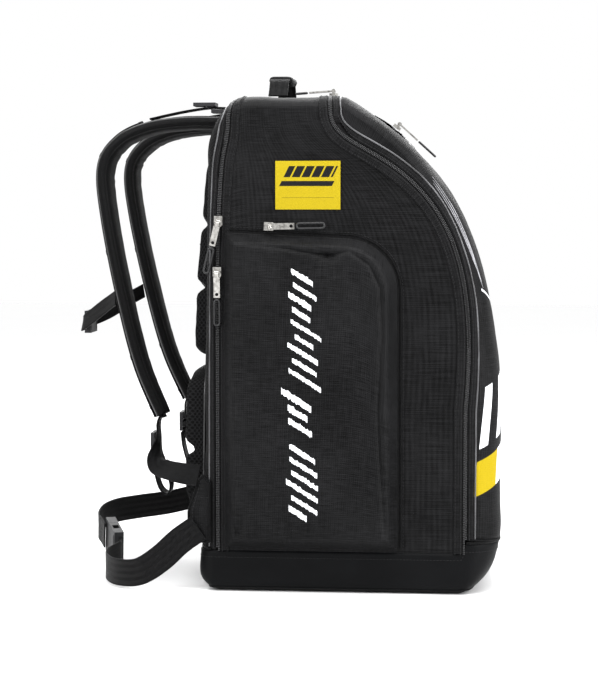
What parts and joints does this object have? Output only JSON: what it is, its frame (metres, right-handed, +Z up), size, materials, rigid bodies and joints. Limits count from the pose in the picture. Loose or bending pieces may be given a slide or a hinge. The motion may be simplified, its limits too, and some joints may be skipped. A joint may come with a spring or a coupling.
{
  "type": "ski boot bag",
  "caption": "Upright ski boot backpack: rear door with harness, front door, raised side boot pockets, haul handle, hip belt and chest strap.",
  "frame": {"origin": "middle of the base on the floor", "axes": "+Z up; +X to the front of the bag, away from the wearer's back; +Y to the wearer's right"},
  "size_m": [0.4943, 0.401, 0.5688],
  "materials": {
    "body_fabric": "matte",
    "coated_fabric": "satin",
    "lining": "matte",
    "air_mesh": "matte",
    "webbing": "satin",
    "zip_tape": "matte",
    "buckle_plastic": "gloss",
    "nickel": "polished",
    "label_yellow": "matte",
    "board": "matte"
  },
  "bodies": {
    "bag": {"base_tray": "coated_fabric", "base_board": "board", "side_panel_left": "body_fabric", "side_panel_right": "body_fabric", "top_panel": "body_fabric", "boot_cell_left": "lining", "boot_cell_right": "lining", "rear_zip_body_tape": "zip_tape", "front_zip_body_tape": "zip_tape", "pocket_body_left": "body_fabric", "pocket_body_right": "body_fabric", "name_label": "label_yellow", "handle_tabs": "webbing"},
    "rear_door": {"back_panel": "body_fabric", "rear_zip_door_tape": "zip_tape", "back_pad": "air_mesh", "lumbar_pad": "air_mesh", "hip_wing_left": "body_fabric", "hip_wing_right": "body_fabric", "shoulder_pad_left": "air_mesh", "shoulder_pad_right": "air_mesh", "load_lifter_left": "webbing", "load_lifter_right": "webbing", "lower_webbing_left": "webbing", "lower_webbing_right": "webbing"},
    "front_door": {"front_shell": "body_fabric", "front_zip_door_tape": "zip_tape", "goggle_pocket": "lining", "goggle_zip": "zip_tape"},
    "haul_handle": {"handle_strap": "webbing", "handle_grip": "air_mesh"},
    "rear_slider_upper": {"rear_slider_upper": "nickel"},
    "rear_pull_upper": {"rear_pull_upper": "nickel"},
    "rear_slider_lower": {"rear_slider_lower": "nickel"},
    "rear_pull_lower": {"rear_pull_lower": "nickel"},
    "front_slider_left": {"front_slider_left": "nickel"},
    "front_pull_left": {"front_pull_left": "nickel"},
    "front_slider_right": {"front_slider_right": "nickel"},
    "front_pull_right": {"front_pull_right": "nickel"},
    "goggle_slider": {"goggle_slider": "nickel"},
    "goggle_pull": {"goggle_pull": "nickel"},
    "pocket_flap_left": {"pocket_flap_left": "body_fabric"},
    "pocket_slider_left": {"pocket_slider_left": "nickel"},
    "pocket_pull_left": {"pocket_pull_left": "nickel"},
    "pocket_flap_right": {"pocket_flap_right": "body_fabric"},
    "pocket_slider_right": {"pocket_slider_right": "nickel"},
    "pocket_pull_right": {"pocket_pull_right": "nickel"},
    "lifter_buckle_left": {"lifter_buckle_left": "buckle_plastic"},
    "ladder_lock_left": {"ladder_lock_left": "buckle_plastic"},
    "lifter_buckle_right": {"lifter_buckle_right": "buckle_plastic"},
    "ladder_lock_right": {"ladder_lock_right": "buckle_plastic"},
    "sternum_strap": {"sternum_left": "webbing", "sternum_right": "webbing", "sternum_socket": "buckle_plastic"},
    "sternum_plug": {"sternum_plug": "buckle_plastic"},
    "hip_belt": {"belt_left": "webbing", "belt_right": "webbing", "belt_socket": "buckle_plastic"},
    "belt_plug": {"belt_plug": "buckle_plastic"}
  },
  "joints": [
    {"name": "front_door_hinge", "type": "hinge", "parent": "bag", "child": "front_door", "pos_m": [0.173, 0, 0.0563], "axis": [0, 1, 0], "range_deg": [0, 90]},
    {"name": "rear_door_hinge", "type": "hinge", "parent": "bag", "child": "rear_door", "pos_m": [-0.16, 0, 0.047], "axis": [0, -1, 0], "range_deg": [0, 90]},
    {"name": "handle_tilt", "type": "hinge", "parent": "bag", "child": "haul_handle", "pos_m": [-0.083, 0, 0.542], "axis": [0, 1, 0], "range_deg": [-15, 15]},
    {"name": "rear_slider_upper_run", "type": "slide", "parent": "bag", "child": "rear_slider_upper", "axis": [0.0545, 0, 0.9985], "range_m": [0, 0.055]},
    {"name": "rear_pull_upper_swing", "type": "hinge", "parent": "rear_slider_upper", "child": "rear_pull_upper", "pos_m": [-0.1355, -0.1878, 0.403], "axis": [-0.9703, 0, 0.2419], "range_deg": [0, 120]},
    {"name": "rear_slider_lower_run", "type": "slide", "parent": "bag", "child": "rear_slider_lower", "axis": [0, 0, -1], "range_m": [0, 0.2]},
    {"name": "rear_pull_lower_swing", "type": "hinge", "parent": "rear_slider_lower", "child": "rear_pull_lower", "pos_m": [-0.137, -0.1878, 0.348], "axis": [-1, 0, 0], "range_deg": [0, 120]},
    {"name": "front_slider_left_run", "type": "slide", "parent": "front_door", "child": "front_slider_left", "axis": [0, 1, 0], "range_m": [0, 0.09]},
    {"name": "front_pull_left_swing", "type": "hinge", "parent": "front_slider_left", "child": "front_pull_left", "pos_m": [-0.0155, -0.12, 0.5458], "axis": [0, 1, 0], "range_deg": [0, 150]},
    {"name": "front_slider_right_run", "type": "slide", "parent": "front_door", "child": "front_slider_right", "axis": [0, -1, 0], "range_m": [0, 0.09]},
    {"name": "front_pull_right_swing", "type": "hinge", "parent": "front_slider_right", "child": "front_pull_right", "pos_m": [-0.0155, 0.12, 0.5458], "axis": [0, 1, 0], "range_deg": [0, 150]},
    {"name": "goggle_slider_run", "type": "slide", "parent": "front_door", "child": "goggle_slider", "axis": [0, 1, 0], "range_m": [0, 0.185]},
    {"name": "goggle_pull_swing", "type": "hinge", "parent": "goggle_slider", "child": "goggle_pull", "pos_m": [0.05626, -0.094, 0.51051], "axis": [0, -1, 0], "range_deg": [0, 120]},
    {"name": "pocket_flap_left_fold", "type": "hinge", "parent": "bag", "child": "pocket_flap_left", "pos_m": [-0.085, -0.2015, 0.388], "axis": [0.3903, 0, -0.9207], "range_deg": [0, 110]},
    {"name": "pocket_slider_left_run", "type": "slide", "parent": "bag", "child": "pocket_slider_left", "axis": [0.9989, 0, -0.0468], "range_m": [0, 0.06]},
    {"name": "pocket_pull_left_swing", "type": "hinge", "parent": "pocket_slider_left", "child": "pocket_pull_left", "pos_m": [-0.08, -0.1878, 0.3978], "axis": [0.0174, 0, -0.9998], "range_deg": [0, 120]},
    {"name": "pocket_flap_right_fold", "type": "hinge", "parent": "bag", "child": "pocket_flap_right", "pos_m": [-0.085, 0.2015, 0.388], "axis": [-0.3903, 0, 0.9207], "range_deg": [0, 110]},
    {"name": "pocket_slider_right_run", "type": "slide", "parent": "bag", "child": "pocket_slider_right", "axis": [0.9989, 0, -0.0468], "range_m": [0, 0.06]},
    {"name": "pocket_pull_right_swing", "type": "hinge", "parent": "pocket_slider_right", "child": "pocket_pull_right", "pos_m": [-0.08, 0.1878, 0.3978], "axis": [-0.0174, 0, 0.9998], "range_deg": [0, 120]},
    {"name": "lifter_buckle_left_tilt", "type": "hinge", "parent": "rear_door", "child": "lifter_buckle_left", "pos_m": [-0.151, -0.0755, 0.5338], "axis": [0, 1, 0], "range_deg": [0, 35]},
    {"name": "ladder_lock_left_tilt", "type": "hinge", "parent": "rear_door", "child": "ladder_lock_left", "pos_m": [-0.2186, -0.108, 0.165], "axis": [0, 1, 0], "range_deg": [0, 40]},
    {"name": "lifter_buckle_right_tilt", "type": "hinge", "parent": "rear_door", "child": "lifter_buckle_right", "pos_m": [-0.151, 0.0755, 0.5338], "axis": [0, 1, 0], "range_deg": [0, 35]},
    {"name": "ladder_lock_right_tilt", "type": "hinge", "parent": "rear_door", "child": "ladder_lock_right", "pos_m": [-0.2186, 0.108, 0.165], "axis": [0, 1, 0], "range_deg": [0, 40]},
    {"name": "sternum_height", "type": "slide", "parent": "rear_door", "child": "sternum_strap", "axis": [-0.227, 0, 0.9739], "range_m": [-0.025, 0.025]},
    {"name": "sternum_plug_out", "type": "slide", "parent": "sternum_strap", "child": "sternum_plug", "axis": [0, 1, 0], "range_m": [0, 0.016]},
    {"name": "hip_belt_swing", "type": "hinge", "parent": "rear_door", "child": "hip_belt", "pos_m": [-0.145, 0, 0.066], "axis": [0, 1, 0], "range_deg": [0, 25]},
    {"name": "belt_plug_out", "type": "slide", "parent": "hip_belt", "child": "belt_plug", "axis": [-0.3387, 0.9305, 0.1392], "range_m": [0, 0.024]}
  ]
}
